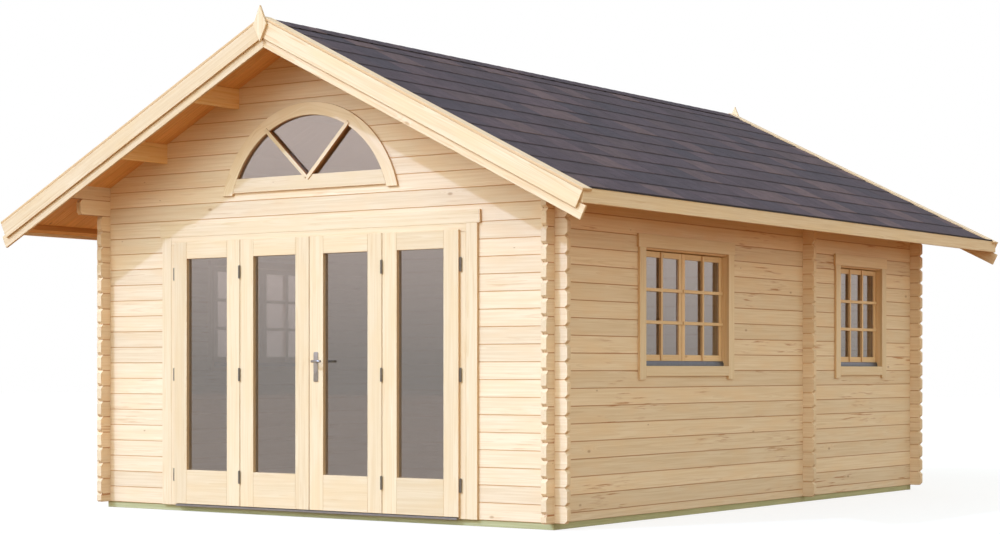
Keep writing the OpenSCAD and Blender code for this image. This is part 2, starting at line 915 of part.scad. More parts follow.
foundation_beams();
floor_joists();
floor_boards();
front_wall_logs();
front_gable_logs();
back_wall_logs();
back_gable_logs();
left_wall_logs();
right_wall_logs();
partition_logs();
ridge_purlin();
purlins();
left_roof_deck();
right_roof_deck();
left_roof_covering();
right_roof_covering();
ridge_cap();
eaves_fascias();
eaves_battens();
front_bargeboards();
front_inner_bargeboards();
front_verge_caps();
front_finial();
rear_bargeboards();
rear_inner_bargeboards();
rear_verge_caps();
rear_finial();
door_frame();
door_threshold();
door_casing();
door_leaf_1();
door_leaf_2();
door_leaf_3();
door_leaf_4();
door_glass();
door_hinges();
door_handle();
arch_window_casing();
arch_window_frame();
arch_window_glass();
window_frames();
window_sashes();
window_casings();
window_glass();
window_drip_bars();
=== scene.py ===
# The looks of a log cabin: planed spruce logs and trim, a shingled roof, a glazed folding door, barred windows.
# Metres. X runs along the front, Y from front to back, Z up from the ground.
import math
import random
import bmesh
import bpy
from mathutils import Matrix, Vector


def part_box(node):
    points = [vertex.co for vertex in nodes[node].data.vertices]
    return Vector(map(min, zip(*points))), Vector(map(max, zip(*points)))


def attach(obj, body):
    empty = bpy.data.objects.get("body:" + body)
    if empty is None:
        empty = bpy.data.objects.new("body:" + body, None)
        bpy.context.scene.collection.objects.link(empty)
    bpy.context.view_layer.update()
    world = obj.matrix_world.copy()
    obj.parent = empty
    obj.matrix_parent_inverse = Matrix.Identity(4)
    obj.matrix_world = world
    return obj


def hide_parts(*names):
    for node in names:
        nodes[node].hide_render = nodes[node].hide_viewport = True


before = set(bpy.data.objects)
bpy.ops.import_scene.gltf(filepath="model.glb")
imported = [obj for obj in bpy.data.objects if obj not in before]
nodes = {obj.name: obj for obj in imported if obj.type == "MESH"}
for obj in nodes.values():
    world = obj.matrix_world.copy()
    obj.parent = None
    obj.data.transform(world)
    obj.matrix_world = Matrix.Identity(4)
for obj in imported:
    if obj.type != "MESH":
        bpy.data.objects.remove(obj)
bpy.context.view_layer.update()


# Foundation beams and floor joists
# Pine battens laid flat on the ground under every wall, with the joists let in between them.
# They are pressure treated, and the salts leave a grey-green cast over the grain.
def linear(hex_colour):
    """An sRGB hex colour as the linear RGBA that a shader socket takes."""
    parts = [int(hex_colour[k:k + 2], 16) / 255 for k in (1, 3, 5)]
    return [p / 12.92 if p <= 0.04045 else ((p + 0.055) / 1.055) ** 2.4 for p in parts] + [1.0]


def wire(tree, made, inputs):
    """Feeds a node's sockets with numbers, colours or the outputs of other nodes."""
    for socket, value in inputs.items():
        if isinstance(value, bpy.types.NodeSocket):
            tree.links.new(value, made.inputs[socket])
        else:
            made.inputs[socket].default_value = value


def add(tree, kind, inputs, stops=(), **settings):
    """Adds a shader node with its settings, the stops of its colour ramp and its links, and gives its outputs."""
    made = tree.nodes.new("ShaderNode" + kind)
    for option, value in settings.items():
        setattr(made, option, value)
    for k, (place, colour) in enumerate(stops):
        ramp = made.color_ramp.elements
        stop = ramp[k] if k < len(ramp) else ramp.new(place)
        stop.position = place
        stop.color = linear(colour)
    wire(tree, made, inputs)
    return made.outputs


def new_finish(name):
    """An empty material: the material, its node tree and its shader."""
    made = bpy.data.materials.new(name)
    made.use_nodes = True
    return made, made.node_tree, made.node_tree.nodes["Principled BSDF"]


def board_grain(tree):
    """A board's own grain, as the board was cut: its coordinates, the shade of its ends, its tone, and the painted
    shade of its narrow edges.
    """
    grain = add(tree, "Attribute", {}, attribute_name="grain")["Vector"]
    end = add(tree, "Attribute", {}, attribute_name="end")["Fac"]
    tone = add(tree, "NewGeometry", {})["Random Per Island"]
    sawn = add(tree, "Attribute", {}, attribute_name="sawn")["Fac"]
    return grain, end, tone, sawn


def timber_finish(name, read_grain, early, late, cast, resin, knot, rough, stain, knotty):
    """Softwood sawn along the tree. Early and late wood make the rings, clouds have a cast of their own, resin
    stains follow the grain, and knots part the rings. Ends are darker because they drink the light."""
    made, tree, shader = new_finish(name)
    grain, end, tone, painted_edge_shade = read_grain(tree)
    smooth = {"interpolation_type": "SMOOTHSTEP"}

    def stretched(length, width, detail):
        """Noise drawn out along the grain, in spots of about this length along it and this width across it."""
        spots = (1 / length, 1 / width, 1 / width)
        vector = add(tree, "VectorMath", {0: grain, 1: spots}, operation="MULTIPLY")[0]
        return add(tree, "TexNoise", {"Vector": vector, "Scale": 1.0, "Detail": detail})["Fac"]

    # Knots of 4 to 12 mm radius and twice as long, in the share knotty of the cells of a net of 320 by 160 mm
    cell = 0.160
    net_place = add(tree, "VectorMath", {0: grain, 1: (0.5 / cell, 1 / cell, 0)}, operation="MULTIPLY")[0]
    net = add(tree, "TexVoronoi", {"Vector": net_place, "Scale": 1.0}, voronoi_dimensions="2D")
    chance = add(tree, "SeparateColor", {0: net["Color"]})
    radius = add(tree, "MapRange", {0: chance[1], 3: 0.004 / cell, 4: 0.012 / cell}, **smooth)[0]
    reach = add(tree, "Math", {0: net["Distance"], 1: radius}, operation="DIVIDE")[0]
    has_knot = add(tree, "Math", {0: chance[0], 1: 1 - knotty}, operation="GREATER_THAN")[0]
    halo = add(tree, "MapRange", {0: reach, 1: 0.6, 2: 5.0, 3: has_knot, 4: 0.0}, **smooth)[0]
    browned = add(tree, "Math", {0: has_knot, 1: 0.5}, operation="MULTIPLY")[0]
    core = add(tree, "MapRange", {0: reach, 1: 0.3, 2: 1.3, 3: browned, 4: 0.0}, **smooth)[0]

    # Rings 4 mm apart round the heart, which wanders by 22 mm along the tree, and swerve by 7 mm round the knots
    ring = 0.004
    section = add(tree, "VectorMath", {0: grain, 1: (0, 1, 1)}, operation="MULTIPLY")[0]
    from_heart = add(tree, "VectorMath", {0: section}, operation="LENGTH")["Value"]
    bent = add(tree, "Math", {0: stretched(1.0, 0.125, 2.0), 1: 0.022, 2: from_heart}, operation="MULTIPLY_ADD")[0]
    bent = add(tree, "Math", {0: halo, 1: 0.007, 2: bent}, operation="MULTIPLY_ADD")[0]
    grown = add(tree, "Math", {0: bent, 1: ring}, operation="MODULO")[0]
    latewood = add(tree, "MapRange", {0: grown, 1: 0.35 * ring, 2: 0.95 * ring}, **smooth)[0]

    # Streaks 15 mm wide and half a metre long, clouds of 100 mm, and resin stains of 17 by 280 mm in loose clusters
    streak = add(tree, "MapRange", {0: stretched(0.55, 0.015, 3.0), 1: 0.36, 2: 0.68, 4: 0.5}, **smooth)[0]
    cloud = add(tree, "MapRange", {0: stretched(0.38, 0.100, 2.0), 1: 0.42, 2: 0.72, 4: 0.6}, **smooth)[0]
    cluster = add(tree, "MapRange", {0: stretched(0.90, 0.250, 1.0), 1: 0.53, 2: 0.66, 4: stain}, **smooth)[0]
    fleck = add(tree, "MapRange", {0: stretched(0.28, 0.017, 4.0), 1: 0.54, 2: 0.70, 4: cluster}, **smooth)[0]
    dark = add(tree, "Math", {0: latewood, 1: 0.42, 2: streak}, operation="MULTIPLY_ADD")[0]

    # The last share is painted shade, on the bevels of log joints and on the narrow faces of boards
    colour = linear(early)
    for share, shade in ((dark, late), (cloud, cast), (fleck, resin), (core, knot), (end, late), (painted_edge_shade, resin)):
        colour = add(tree, "Mix", {0: share, 6: colour, 7: linear(shade)}, data_type="RGBA")[2]
    value = add(tree, "MapRange", {0: tone, 3: 0.93, 4: 1.05})[0]
    colour = add(tree, "VectorMath", {0: colour, "Scale": value}, operation="SCALE")[0]

    # Late wood is harder: it stands proud of the early wood and shines more. The fibres are 1 mm wide, coarser than
    # real ones, so that they show.
    fibre = stretched(0.025, 0.0011, 2.0)
    relief = add(tree, "Math", {0: latewood, 1: 0.6, 2: fibre}, operation="MULTIPLY_ADD")[0]
    normal = add(tree, "Bump", {"Strength": 0.3, "Distance": 0.0008, "Height": relief})[0]
    sheen = add(tree, "MapRange", {0: latewood, 3: rough + 0.05, 4: rough - 0.07})[0]
    wire(tree, shader, {"Base Color": colour, "Roughness": sheen, "Normal": normal})
    return made


def welded(name):
    """The solids of a CAD node as one bmesh, with each flat face whole."""
    solids = bmesh.new()
    solids.from_mesh(nodes[name].data)
    bmesh.ops.remove_doubles(solids, verts=solids.verts, dist=1e-5)
    bmesh.ops.dissolve_limit(solids, angle_limit=math.radians(0.5), verts=solids.verts, edges=solids.edges)
    return solids


def loose_solids(solids):
    """The separate solids in a bmesh, each as its corners, in the order they were made."""
    seen = set()
    for corner in solids.verts:
        if corner in seen:
            continue
        seen.add(corner)
        found = [corner]
        for reached in found:
            for edge in reached.link_edges:
                other = edge.other_vert(reached)
                if other not in seen:
                    seen.add(other)
                    found.append(other)
        yield found


def box_of(corners):
    """The lowest and the highest corner of the box round a solid."""
    return [Vector(pick(corner.co[k] for corner in corners) for k in range(3)) for pick in (min, max)]


def make_piece(name, solids, finish, slot, *stands_for):
    """Makes one piece of the solids, on the house, in place of the CAD nodes that it stands for."""
    mesh = bpy.data.meshes.new(name)
    solids.to_mesh(mesh)
    solids.free()
    mesh.materials.append(finish)
    piece = bpy.data.objects.new(name, mesh)
    bpy.context.scene.collection.objects.link(piece)
    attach(piece, "root")
    if stands_for:
        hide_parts(*stands_for)
    return piece


def ease_edges(solids, ease, angle=30):
    """Takes the sharpness off every edge that turns by more than the angle."""
    sharp = [e for e in solids.edges if e.is_manifold and e.calc_face_angle() > math.radians(angle)]
    bmesh.ops.bevel(solids, geom=sharp, offset=ease, segments=2, profile=0.5, affect="EDGES", clamp_overlap=True)


end_shade = 0.35


def timber(name, solids, ease, finish, slot, *stands_for, grain=None, bend=None, sawn=0.0):
    """Eases the edges of boards and gives each its own grain: along its longest edge, or as given, or round
    the point bend where a board is bent. Narrow edges take painted shade, by the share sawn."""
    ease_edges(solids, ease)
    grain_layer = solids.verts.layers.float_vector.new("grain")
    end_layer = solids.faces.layers.float.new("end")
    painted_side_shade_layer = solids.faces.layers.float.new("sawn")
    draw = random.Random(name)
    for corners in loose_solids(solids):
        edges = {edge.index: edge for corner in corners for edge in corner.link_edges}.values()
        longest = max(edges, key=lambda edge: edge.calc_length())
        faces = {face.index: face for corner in corners for face in corner.link_faces}.values()
        low, high = box_of(corners)
        bent = bend is not None and longest.calc_length() < (high - low).length / 3
        along = grain or (longest.verts[1].co - longest.verts[0].co).normalized()
        sides = [face for face in faces if abs(face.normal.dot(along)) < 0.2]
        through = max(sides, key=lambda face: face.calc_area()).normal.copy() if sides else Vector((0, 1, 0))
        through = (through - along * through.dot(along)).normalized()
        across = along.cross(through)
        start = draw.uniform(0, 40)
        heart = Vector((draw.uniform(-0.05, 0.05), draw.choice((-1, 1)) * draw.uniform(0.025, 0.06)))
        for corner in corners:
            place = corner.co - (low + high) / 2
            if bent:
                arm = corner.co - bend
                spread = math.hypot(arm.x, arm.z)
                run = math.atan2(arm.x, arm.z) * spread
                corner[grain_layer] = (start + run, spread + heart.x - 0.8, place.y + heart.y)
            else:
                corner[grain_layer] = (start + place.dot(along), place.dot(across) + heart.x,
                                       place.dot(through) + heart.y)
        for face in faces:
            face[end_layer] = end_shade * float(not bent and abs(face.normal.dot(along)) > 0.75)
            # Narrow faces take painted shade by this share
            face[painted_side_shade_layer] = sawn * float(abs(face.normal.dot(through)) < 0.75)
    return make_piece(name, solids, finish, slot, *stands_for)


treated_pine = timber_finish("treated_pine", board_grain, "#c3bf95", "#a39f6e", "#b3b486", "#8b8450", "#6f6238",
                             rough=0.75, stain=0.4, knotty=0.10)
for beams in ("foundation_beams", "floor_joists"):
    timber("sawn_" + beams, welded(beams), 0.003, treated_pine, "treated_pine", beams)


# Floor boards
# Tongued spruce boards, planed on top, nailed down to the joists in both rooms and through the doorway between them.
# Their upper edges are eased, so that each joint shows as a fine V. Feet have worn them smoother than the walls.
def add_loft(solids, rings):
    """Adds a closed solid drawn through rings of points, from its first ring to its last, and gives its corners."""
    loops = [[solids.verts.new(point) for point in ring] for ring in rings]
    faces = [solids.faces.new(loops[0]), solids.faces.new(loops[-1][::-1])]
    for near, away in zip(loops, loops[1:]):
        for k in range(len(near)):
            faces.append(solids.faces.new((near[k - 1], near[k], away[k], away[k - 1])))
    bmesh.ops.recalc_face_normals(solids, faces=faces)
    return [corner for loop in loops for corner in loop]


def add_prism(solids, outline, run):
    """Adds a solid, a flat outline carried along a straight run, and gives its corners."""
    return add_loft(solids, (outline, [Vector(point) + Vector(run) for point in outline]))


plank_w = 0.121
least_plank_w = 0.02
joint_gap = 0.0006
doorway_half = 0.45 - joint_gap / 2
floor_low, floor_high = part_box("floor_boards")
partition_low, partition_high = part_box("partition_logs")
planks = bmesh.new()
plank_count = math.ceil((floor_high.x - floor_low.x) / plank_w)
for k in range(plank_count):
    left = floor_low.x + k * plank_w
    right = min(left + plank_w - joint_gap, floor_high.x)
    door_left, door_right = max(left, -doorway_half), min(right, doorway_half)
    stretches = [(left, right, floor_low.y, partition_low.y - joint_gap),
                 (left, right, partition_high.y + joint_gap, floor_high.y)]
    if door_right - door_left > least_plank_w:
        stretches.append((door_left, door_right, partition_low.y, partition_high.y))
    for x0, x1, y0, y1 in stretches:
        outline = [(x0, y0, floor_low.z), (x1, y0, floor_low.z), (x1, y0, floor_high.z), (x0, y0, floor_high.z)]
        add_prism(planks, outline, (0, y1 - y0, 0))
floor_spruce = timber_finish("floor_spruce", board_grain, "#eddab6", "#d6b686", "#e6c79a", "#c99552", "#a8763f",
                             rough=0.5, stain=0.4, knotty=0.08)
timber("floor_planks", planks, 0.0015, floor_spruce, "floor_spruce", "floor_boards", grain=Vector((0, 1, 0)))


# Wall logs
# Spruce logs planed on four sides, tongued into the course below and notched half-way into the logs they cross.
# Bare wood: each course has its own tone and heart, and painted shade darkens the V where two courses meet.
course_h = 0.120
log_bevel = 0.005
course_shift = 3.7
joint_shade = 0.9


def log_grain(axis, wall_line, first_line):
    """Reads the grain of a log from its place in the wall: the course that it lies in, and that course's heart."""
    def read(tree):
        place = add(tree, "SeparateXYZ", {0: add(tree, "TexCoord", {})["Object"]})
        above = add(tree, "Math", {0: place[2], 1: first_line}, operation="SUBTRACT")[0]
        level = add(tree, "Math", {0: above, 1: course_h}, operation="DIVIDE")[0]
        number = add(tree, "Math", {0: level}, operation="FLOOR")[0]
        rise = add(tree, "Math", {0: level}, operation="FRACT")[0]
        up = add(tree, "MapRange", {0: rise, 3: -course_h / 2, 4: course_h / 2})[0]

        # The heart lies up to 50 mm above or below a log's middle, and 30 to 60 mm behind it
        seed = add(tree, "CombineXYZ", {0: number, 1: wall_line})[0]
        own = add(tree, "TexWhiteNoise", {"Vector": seed})
        heart = add(tree, "SeparateColor", {0: own["Color"]})
        heart_up = add(tree, "MapRange", {0: heart[0], 3: -0.05, 4: 0.05})[0]
        heart_in = add(tree, "MapRange", {0: heart[1], 3: 0.03 - wall_line, 4: 0.06 - wall_line})[0]
        along = add(tree, "Math", {0: number, 1: course_shift, 2: place[axis]}, operation="MULTIPLY_ADD")[0]
        across = add(tree, "Math", {0: up, 1: heart_up}, operation="ADD")[0]
        through = add(tree, "Math", {0: place[1 - axis], 1: heart_in}, operation="ADD")[0]
        grain = add(tree, "CombineXYZ", {0: along, 1: across, 2: through})[0]

        # Ends take the darker colour of end grain, and the bevels of all other faces take painted shade for the joints
        facing = add(tree, "SeparateXYZ", {0: add(tree, "NewGeometry", {})["Normal"]})
        turned = add(tree, "Math", {0: facing[axis]}, operation="ABSOLUTE")[0]
        flank = add(tree, "Math", {0: turned, 1: 0.7}, operation="LESS_THAN")[0]
        end = add(tree, "Math", {0: flank, 1: -end_shade, 2: end_shade}, operation="MULTIPLY_ADD")[0]
        deepest = add(tree, "Math", {0: flank, 1: joint_shade}, operation="MULTIPLY")[0]
        off = add(tree, "Math", {0: up}, operation="ABSOLUTE")[0]
        painted_edge_shade = add(tree, "MapRange", {0: off, 1: course_h / 2 - log_bevel, 2: course_h / 2, 4: deepest})[0]
        return grain, end, own["Value"], painted_edge_shade

    return read


# The way each wall runs, the colour of its resin and the share of its stains. The resin also tints the joints, and the
# darker resin of the back and side walls partly paints shade into them
along_x, along_y = 0, 1
walls = {"front": (along_x, "#c88b46", 0.3), "back": (along_x, "#b8793a", 0.7), "partition": (along_x, "#c88b46", 0.6),
         "left": (along_y, "#b7702d", 0.7), "right": (along_y, "#b7702d", 0.8)}
for wall, (axis, resin, stain) in walls.items():
    logs = [name for name in nodes if name.startswith(wall) and name.endswith("logs")]
    low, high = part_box(logs[0])
    centre = (low[1 - axis] + high[1 - axis]) / 2
    first_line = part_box("front_wall_logs")[0].z + (course_h / 2 if axis == along_y else 0)
    finish = timber_finish("spruce_logs_" + wall, log_grain(axis, centre, first_line), "#f4ddc0", "#e4c69f", "#f0d0a9",
                           resin, "#9c6430", rough=0.6, stain=stain, knotty=0.08)
    for name in logs:
        nodes[name].material_slots[0].material = finish


# Purlins and ridge purlin
# Planed spruce beams that run the whole length of the roof and carry its deck; their ends show under the overhang.
# The same wood as the logs, given a yellower copy of their colour that paints in the warm shade under the roof.
painted_shade_beam_spruce = timber_finish("painted_shade_beam_spruce", board_grain, "#fad196", "#e6b06a", "#f0bf7c", "#b97c38", "#84511f",
                            rough=0.62, stain=0.4, knotty=0.05)
for beams in ("ridge_purlin", "purlins"):
    timber("planed_" + beams, welded(beams), 0.006, painted_shade_beam_spruce, "roof_spruce", beams)


# Roof deck and eaves battens
# Tongued spruce boards, 95 mm wide, nailed across the purlins from the ridge to the eaves, with a batten under their
# feet. Their eased undersides make the rows of V joints under the overhang, and their deep orange is painted shade.
deck_mesh = nodes["right_roof_deck"].data
slope_up = max((face for face in deck_mesh.polygons if face.normal.z > 0.5), key=lambda f: f.area).normal.copy()
deck_under = min(slope_up.dot(corner.co) for corner in deck_mesh.vertices)
deck_top = max(slope_up.dot(corner.co) for corner in deck_mesh.vertices)
deck_low, deck_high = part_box("right_roof_deck")


def on_slope(side, x, y, height):
    """A point over the plumb line at x, at a height square to the slope; side is 1 on the right and -1 on the left."""
    z = (height - slope_up.x * x) / slope_up.z
    return Vector((side * x, y, z))


# A deep orange copy of the spruce, which paints in the shade under the roof
roof_spruce = timber_finish("roof_spruce", board_grain, "#f2b674", "#d4924b", "#e4a55c", "#a86c30", "#7d4f25",
                            rough=0.62, stain=0.5, knotty=0.08)
timber("planed_eaves_battens", welded("eaves_battens"), 0.004, roof_spruce, "roof_spruce", "eaves_battens", sawn=0.6)
deck_board_w = 0.0955
deck_count = round((deck_high.y - deck_low.y) / deck_board_w)
deck_step = (deck_high.y - deck_low.y) / deck_count
for side, name in ((1, "right"), (-1, "left")):
    boards = bmesh.new()
    for k in range(deck_count):
        y = deck_low.y + k * deck_step
        outline = [on_slope(side, x, y, height) for x, height in (
            (deck_low.x, deck_under), (deck_high.x, deck_under), (deck_high.x, deck_top), (deck_low.x, deck_top))]
        add_prism(boards, outline, (0, deck_step - joint_gap, 0))
    timber(name + "_deck_boards", boards, 0.003, roof_spruce, "roof_spruce", name + "_roof_deck")


# Roof shingles
# Strips of bitumen felt faced with slate granules, nailed in straight courses up both slopes, each lapping the last,
# with a folded strip of felt along the eaves, dark with painted shadow of the gap at the fascia.
# Every tab is a blend of its own, from blue-grey to brown, and just under each lap the granules are darker: a printed
# band that also paints in the lap's shadow.
courses = 11
tab_w = 0.333
tab_slot = 0.003
least_tab_w = 0.05
felt_t = 0.0045
felt_lap = 0.040
felt_arris = 0.0015
strip_t = 0.011
strip_in = 0.012
strip_out = 0.006
bed_gap = 0.0003
fascia_low, fascia_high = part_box("eaves_fascias")
cover_low, cover_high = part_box("right_roof_covering")
exposure = (cover_high.x - cover_low.x) / courses


def shingle_finish(name):
    """Mineral-faced bitumen: matt and gritty, with a tone for each tab and a shade line along its head, a printed band
    that is also painted shadow.
    """
    made, tree, shader = new_finish(name)
    island = add(tree, "NewGeometry", {})["Random Per Island"]
    colour = add(tree, "ValToRGB", {0: island}, stops=(
        (0.0, "#43383e"), (0.22, "#4a3d44"), (0.42, "#3e3840"), (0.60, "#4f4046"), (0.74, "#604c4c"),
        (0.86, "#42383e"), (1.0, "#514248")))[0]

    # Worn patches of 110 mm, and granules of 1.5 mm drawn as clumps of 8 mm, because single ones are too fine to show
    place = add(tree, "TexCoord", {})["Object"]
    cloud = add(tree, "TexNoise", {"Vector": place, "Scale": 1 / 0.11, "Detail": 5.0, "Roughness": 0.7})["Fac"]
    grit = add(tree, "TexVoronoi", {"Vector": place, "Scale": 1 / 0.008})
    speck = add(tree, "SeparateColor", {0: grit["Color"]})[0]
    worn = add(tree, "MapRange", {0: cloud, 1: 0.3, 2: 0.7, 3: 0.76, 4: 1.32})[0]
    gritty = add(tree, "MapRange", {0: speck, 3: 0.80, 4: 1.20})[0]
    value = add(tree, "Math", {0: worn, 1: gritty}, operation="MULTIPLY")[0]
    colour = add(tree, "VectorMath", {0: colour, "Scale": value}, operation="SCALE")[0]

    # Darker just under each lap: a printed band that also paints in the lap's shadow
    up = add(tree, "Attribute", {}, attribute_name="up")["Fac"]
    shade = add(tree, "MapRange", {0: up, 1: 0.88, 2: 0.98, 3: 0.0, 4: 0.75}, interpolation_type="SMOOTHSTEP")[0]
    colour = add(tree, "Mix", {0: shade, 6: colour, 7: linear("#231f22")}, data_type="RGBA")[2]
    normal = add(tree, "Bump", {"Strength": 0.5, "Distance": 0.0012, "Height": grit["Distance"]})[0]
    sheen = add(tree, "MapRange", {0: speck, 3: 0.82, 4: 0.95})[0]
    wire(tree, shader, {"Base Color": colour, "Roughness": sheen, "Normal": normal})
    return made


bitumen_shingles = shingle_finish("bitumen_shingles")
for side, name in ((1, "right"), (-1, "left")):
    draw = random.Random(name + " shingles")
    tabs = bmesh.new()
    up_layer = tabs.verts.layers.float.new("up")
    for course in range(courses):
        butt = cover_low.x + (course + 1) * exposure
        head = max(butt - exposure - felt_lap, cover_low.x)
        cuts = [cover_low.y]
        cut = cover_low.y + tab_w * (0.5 if course % 2 else 1.0) + draw.uniform(-0.02, 0.02)
        while cut < cover_high.y - least_tab_w:
            cuts.append(cut)
            cut += tab_w
        cuts.append(cover_high.y)
        for y0, y1 in zip(cuts, cuts[1:]):
            # The head lies on the deck, and the butt rides on the course below
            lift = draw.uniform(0.0, 0.0008)
            foot = butt + draw.uniform(-0.0015, 0.0)
            section = ((head, 0.0002), (foot, 1.15 * felt_t + lift), (foot, 2.0 * felt_t + lift - 0.001),
                       (foot - felt_arris, 2.1 * felt_t + lift), (head, felt_t))
            outline = [on_slope(side, x, y0 + tab_slot / 2, deck_top + height) for x, height in section]
            for corner in add_prism(tabs, outline, (0, y1 - y0 - tab_slot, 0)):
                corner[up_layer] = (butt - abs(corner.co.x)) / exposure
    inside, outside = cover_high.x - strip_in, fascia_high.x + strip_out
    under, top = fascia_high.z + bed_gap, fascia_high.z + strip_t
    strip = [Vector((side * x, cover_low.y, z)) for x, z in (
        (inside, top), (inside, under), (outside, under), (outside, top))]
    # The eaves strip takes the full dark tone, painted shadow of the gap at the fascia
    for corner in add_prism(tabs, strip, (0, cover_high.y - cover_low.y, 0)):
        corner[up_layer] = 1.0
    make_piece(name + "_shingles", tabs, bitumen_shingles, "bitumen_shingles", name + "_roof_covering")


# Ridge shingles
# Single tabs of the same felt, warmed and folded over the ridge, and nailed from the back gable forwards.
# Each laps the last, and its fold is rounded, because felt cracks when it is bent sharply.
cap_w = 0.125
cap_show = 0.165
cap_lap = 0.030
cap_lift = 0.0015
fold_outer, fold_inner = 0.045, 0.015
caps = bmesh.new()
up_layer = caps.verts.layers.float.new("up")
cap_count = round((cover_high.y - cover_low.y) / cap_show)
cap_step = (cover_high.y - cover_low.y) / cap_count
for k in range(cap_count):
    y_butt = cover_low.y + k * cap_step
    y_head = min(y_butt + cap_step + cap_lap, cover_high.y)
    rings = []
    for y, lift in ((y_butt, cap_lift), (y_head, 0.0)):
        top = deck_top + 3.2 * felt_t + lift
        outer = [on_slope(1, x, y, top) for x in (cap_w * slope_up.z, fold_outer, fold_inner)]
        crown = (outer[-1] + on_slope(1, 0.0, y, top)) / 2
        outer.append(Vector((0.0, y, crown.z)))
        inner = [point - Vector((0, 0, felt_t / slope_up.z)) for point in outer]
        ring = outer + [Vector((-p.x, p.y, p.z)) for p in outer[-2::-1]]
        ring += [Vector((-p.x, p.y, p.z)) for p in inner] + inner[-2::-1]
        rings.append(ring)
    # Each cap is darker at its head under the next cap's lap, partly painted shadow
    for corner in add_loft(caps, rings):
        corner[up_layer] = (corner.co.y - y_butt) / cap_step
make_piece("ridge_shingles", caps, bitumen_shingles, "bitumen_shingles", "ridge_cap")


# Fascias, bargeboards, verge caps and finials
# Planed spruce boards: a fascia along each eaves, two lapped bargeboards down each verge with a cap strip on top,
# and a kite-shaped board that covers the joint at each peak. All are nailed, with eased edges.
# Chosen boards: pale and even, with hardly a knot, with painted shade along their narrow edges.
verge_spruce = timber_finish("verge_spruce", board_grain, "#eed4b4", "#ddba8d", "#eaca9f", "#cc9a5e", "#a8703a",
                             rough=0.58, stain=0.35, knotty=0.02)
timber("fascia_boards", welded("eaves_fascias"), 0.0025, verge_spruce, "planed_spruce", "eaves_fascias", sawn=0.2)
for gable in ("front", "rear"):
    for board in ("bargeboards", "inner_bargeboards", "verge_caps"):
        source = gable + "_" + board
        timber("planed_" + source, welded(source), 0.004, verge_spruce, "planed_spruce", source, sawn=0.5)
    timber("planed_" + gable + "_finial", welded(gable + "_finial"), 0.003, verge_spruce, "planed_spruce",
           gable + "_finial", grain=Vector((0, 0, 1)), sawn=0.3)


# Folding door
# Four glazed leaves of spruce stiles and rails in a spruce frame, with casing boards over the joint to the logs.
# The leaves lie over the frame's face, each planed back by a seam, and mitred beads hold their panes.
# Joinery wood: the palest and smoothest on the house, the leaves a shade browner than the boards round them.
planed_spruce = timber_finish("planed_spruce", board_grain, "#f2dabb", "#e5c89d", "#edd1aa", "#cf9f62", "#b07a40",
                              rough=0.58, stain=0.3, knotty=0.015)
for board, sawn in (("door_frame", 0.08), ("door_casing", 0.45)):
    timber("planed_" + board, welded(board), 0.003, planed_spruce, "planed_spruce", board, sawn=sawn)
leaf_spruce = timber_finish("leaf_spruce", board_grain, "#edd5b5", "#e0c196", "#e9caa0", "#cc9a5c", "#b07a40",
                            rough=0.55, stain=0.3, knotty=0.015)
seam = 0.0015
for leaf in ("door_leaf_1", "door_leaf_2", "door_leaf_3", "door_leaf_4"):
    low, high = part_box(leaf)
    boards = welded(leaf)
    for corner in boards.verts:
        corner.co.x = min(max(corner.co.x, low.x + seam), high.x - seam)
    timber("planed_" + leaf, boards, 0.0025, leaf_spruce, "planed_spruce", leaf, sawn=0.45)


def solid_boxes(name):
    """The lowest and the highest corner of each solid in a CAD node."""
    solids = welded(name)
    boxes = [box_of(corners) for corners in loose_solids(solids)]
    solids.free()
    return boxes


bead_w = 0.011
bead_d = 0.013
beads = bmesh.new()
for low, high in solid_boxes("door_glass"):
    edge = [(low.x, low.z), (high.x, low.z), (high.x, high.z), (low.x, high.z)]
    inner = [(low.x + bead_w, low.z + bead_w), (high.x - bead_w, low.z + bead_w),
             (high.x - bead_w, high.z - bead_w), (low.x + bead_w, high.z - bead_w)]
    for k in range(4):
        outline = [Vector((x, high.y + bed_gap, z)) for x, z in (edge[k - 1], edge[k], inner[k], inner[k - 1])]
        add_prism(beads, outline, (0, bead_d - bed_gap, 0))
timber("door_glazing_beads", beads, 0.002, planed_spruce, "planed_spruce")


# Glass
# Sealed units of float glass with a faint low-emissivity coat, which gives a cool grey cast and a strong reflection.
# Float glass is never quite flat, so reflections waver a little.
def glass_finish(name):
    """Coated glass: waves of 400 mm in its face, and a thin film in patches of 70 mm. The coat mirrors far more than
    bare glass does, so its IOR is higher."""
    made, tree, shader = new_finish(name)
    place = add(tree, "TexCoord", {})["Object"]
    wave = add(tree, "TexNoise", {"Vector": place, "Scale": 1 / 0.4, "Detail": 1.0})["Fac"]
    film = add(tree, "TexNoise", {"Vector": place, "Scale": 1 / 0.07, "Detail": 3.0})["Fac"]
    normal = add(tree, "Bump", {"Strength": 0.05, "Distance": 0.004, "Height": wave})[0]
    rough = add(tree, "MapRange", {0: film, 1: 0.3, 2: 0.7, 3: 0.0, 4: 0.04})[0]
    wire(tree, shader, {"Base Color": linear("#c9c6c8"), "Roughness": rough, "Normal": normal,
                        "IOR": 3.0, "Transmission Weight": 1.0})
    return made


glazing = glass_finish("float_glass")
for panes in ("door_glass", "window_glass"):
    nodes[panes].material_slots[0].material = glazing


